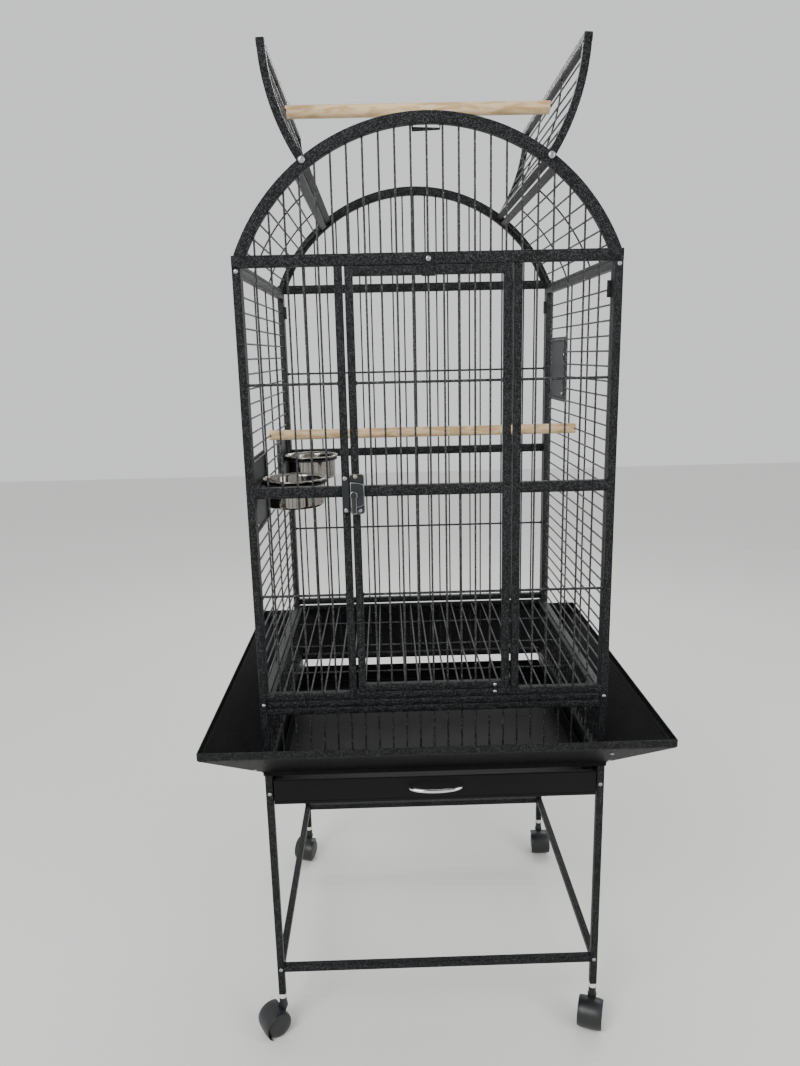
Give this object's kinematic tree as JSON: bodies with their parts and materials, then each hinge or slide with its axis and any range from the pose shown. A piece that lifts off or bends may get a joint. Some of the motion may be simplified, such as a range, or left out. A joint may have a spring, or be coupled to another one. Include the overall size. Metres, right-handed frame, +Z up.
{
  "type": "play top bird cage",
  "caption": "Tall barred bird cage with an arched top that opens into play wings, on a wheeled stand with a pull-out tray, seed guards, feeders and perches.",
  "frame": {"origin": "on the floor under the middle of the cage, at the bottom of the wheels", "axes": "+Z up, -Y out of the front door, +X to the right as seen from the front"},
  "size_m": [0.783, 0.738, 1.702],
  "materials": {
    "hammered_black": "hammertone",
    "satin_black": "satin",
    "dark_grey": "satin",
    "gloss_black": "gloss",
    "pale_pine": "bare",
    "polished_steel": "polished",
    "zinc": "zinc plated",
    "black_plastic": "matte"
  },
  "bodies": {
    "cage": {"front_arch": "hammered_black", "front_sill_rail": "hammered_black", "front_left_section": "hammered_black", "front_right_section": "hammered_black", "back_panel": "hammered_black", "left_side_panel": "hammered_black", "right_side_panel": "hammered_black", "left_dome_panel": "dark_grey", "right_dome_panel": "dark_grey", "wing_bolt_front_left": "zinc", "wing_bolt_front_right": "zinc", "wing_bolt_back_left": "zinc", "wing_bolt_back_right": "zinc", "latch_keeper": "gloss_black", "bowl_ring_left_front": "hammered_black", "bowl_ring_left_back": "hammered_black", "inner_perch": "pale_pine", "seed_guard_front": "satin_black", "seed_guard_back": "satin_black", "seed_guard_left": "satin_black", "seed_guard_right": "satin_black", "stand_frame_front": "hammered_black", "stand_frame_back": "hammered_black", "stand_frame_left": "hammered_black", "stand_frame_right": "hammered_black", "drawer_runner_left": "hammered_black", "drawer_runner_right": "hammered_black", "stand_leg_front_left": "hammered_black", "stand_leg_front_right": "hammered_black", "stand_leg_back_left": "hammered_black", "stand_leg_back_right": "hammered_black", "low_rail_front": "hammered_black", "low_rail_back": "hammered_black", "low_rail_left": "hammered_black", "low_rail_right": "hammered_black"},
    "door": {"front_door": "hammered_black", "door_stop_plate": "hammered_black", "latch_body": "gloss_black"},
    "lever": {"latch_lever": "gloss_black"},
    "bolt": {"latch_bolt": "zinc"},
    "left_wing": {"left_play_wing": "hammered_black"},
    "right_wing": {"right_play_wing": "hammered_black"},
    "top_perch": {"play_perch": "pale_pine"},
    "drawer": {"drawer_pan": "satin_black", "drawer_handle": "polished_steel"},
    "grate": {"floor_grate": "hammered_black"},
    "feeder_left_front": {"feeder_door_left_front": "dark_grey"},
    "feeder_left_back": {"feeder_door_left_back": "dark_grey"},
    "feeder_right_back": {"feeder_door_right_back": "dark_grey"},
    "bowl_left_front": {"feeder_bowl_left_front": "polished_steel"},
    "bowl_left_back": {"feeder_bowl_left_back": "polished_steel"},
    "swivel_front_left": {"caster_hood_front_left": "black_plastic"},
    "swivel_front_right": {"caster_hood_front_right": "black_plastic"},
    "swivel_back_left": {"caster_hood_back_left": "black_plastic"},
    "swivel_back_right": {"caster_hood_back_right": "black_plastic"},
    "wheels_front_left": {"caster_wheels_front_left": "black_plastic"},
    "wheels_front_right": {"caster_wheels_front_right": "black_plastic"},
    "wheels_back_left": {"caster_wheels_back_left": "black_plastic"},
    "wheels_back_right": {"caster_wheels_back_right": "black_plastic"}
  },
  "joints": [
    {"name": "front_door_swing", "type": "hinge", "parent": "cage", "child": "door", "pos_m": [0.107, -0.27115, 0.6855], "axis": [0, 0, 1], "range_deg": [0, 120]},
    {"name": "latch_lever_turn", "type": "hinge", "parent": "door", "child": "lever", "pos_m": [-0.1255, -0.2898, 1.029], "axis": [0, -1, 0], "range_deg": [0, 90]},
    {"name": "latch_bolt_slide", "type": "slide", "parent": "door", "child": "bolt", "axis": [-1, 0, 0], "range_m": [0, 0.0101]},
    {"name": "left_wing_fold", "type": "hinge", "parent": "cage", "child": "left_wing", "pos_m": [-0.18602, 0, 1.53238], "axis": [0, -1, 0], "range_deg": [0, 40]},
    {"name": "right_wing_fold", "type": "hinge", "parent": "cage", "child": "right_wing", "pos_m": [0.18602, 0, 1.53238], "axis": [0, 1, 0], "range_deg": [0, 40]},
    {"name": "top_perch_lift", "type": "slide", "parent": "cage", "child": "top_perch", "axis": [0, 0, 1], "range_m": [0, 0.1]},
    {"name": "drawer_slide", "type": "slide", "parent": "cage", "child": "drawer", "axis": [0, -1, 0], "range_m": [0, 0.45]},
    {"name": "grate_slide", "type": "slide", "parent": "cage", "child": "grate", "axis": [0, -1, 0], "range_m": [0, 0.4]},
    {"name": "feeder_left_front_swing", "type": "hinge", "parent": "cage", "child": "feeder_left_front", "pos_m": [-0.29365, -0.237, 1.01665], "axis": [0, 0, 1], "range_deg": [0, 120]},
    {"name": "feeder_left_back_swing", "type": "hinge", "parent": "cage", "child": "feeder_left_back", "pos_m": [-0.29365, 0.088, 1.01665], "axis": [0, 0, 1], "range_deg": [0, 120]},
    {"name": "feeder_right_back_swing", "type": "hinge", "parent": "cage", "child": "feeder_right_back", "pos_m": [0.29365, 0.088, 1.20945], "axis": [0, 0, -1], "range_deg": [0, 120]},
    {"name": "bowl_left_front_lift", "type": "slide", "parent": "cage", "child": "bowl_left_front", "axis": [0, 0, 1], "range_m": [0, 0.06]},
    {"name": "bowl_left_back_lift", "type": "slide", "parent": "cage", "child": "bowl_left_back", "axis": [0, 0, 1], "range_m": [0, 0.06]},
    {"name": "swivel_front_left_turn", "type": "hinge", "parent": "cage", "child": "swivel_front_left", "pos_m": [-0.29365, -0.27115, 0.069], "axis": [0, 0, 1], "continuous": true},
    {"name": "swivel_front_right_turn", "type": "hinge", "parent": "cage", "child": "swivel_front_right", "pos_m": [0.29365, -0.27115, 0.069], "axis": [0, 0, 1], "continuous": true},
    {"name": "swivel_back_left_turn", "type": "hinge", "parent": "cage", "child": "swivel_back_left", "pos_m": [-0.29365, 0.27115, 0.069], "axis": [0, 0, 1], "continuous": true},
    {"name": "swivel_back_right_turn", "type": "hinge", "parent": "cage", "child": "swivel_back_right", "pos_m": [0.29365, 0.27115, 0.069], "axis": [0, 0, 1], "continuous": true},
    {"name": "wheels_front_left_roll", "type": "hinge", "parent": "swivel_front_left", "child": "wheels_front_left", "pos_m": [-0.30807, -0.28016, 0.02462], "axis": [0.5299, -0.848, 0], "continuous": true},
    {"name": "wheels_front_right_roll", "type": "hinge", "parent": "swivel_front_right", "child": "wheels_front_right", "pos_m": [0.28756, -0.28702, 0.02462], "axis": [0.9336, -0.3584, 0], "continuous": true},
    {"name": "wheels_back_left_roll", "type": "hinge", "parent": "swivel_back_left", "child": "wheels_back_left", "pos_m": [-0.29946, 0.25517, 0.02462], "axis": [0.9397, -0.342, 0], "continuous": true},
    {"name": "wheels_back_right_roll", "type": "hinge", "parent": "swivel_back_right", "child": "wheels_back_right", "pos_m": [0.29306, 0.25416, 0.02462], "axis": [0.9994, -0.0349, 0], "continuous": true}
  ],
  "couplings": [
    {"joint": "latch_bolt_slide", "follows": "latch_lever_turn", "m_per_rad": 0.006366}
  ]
}
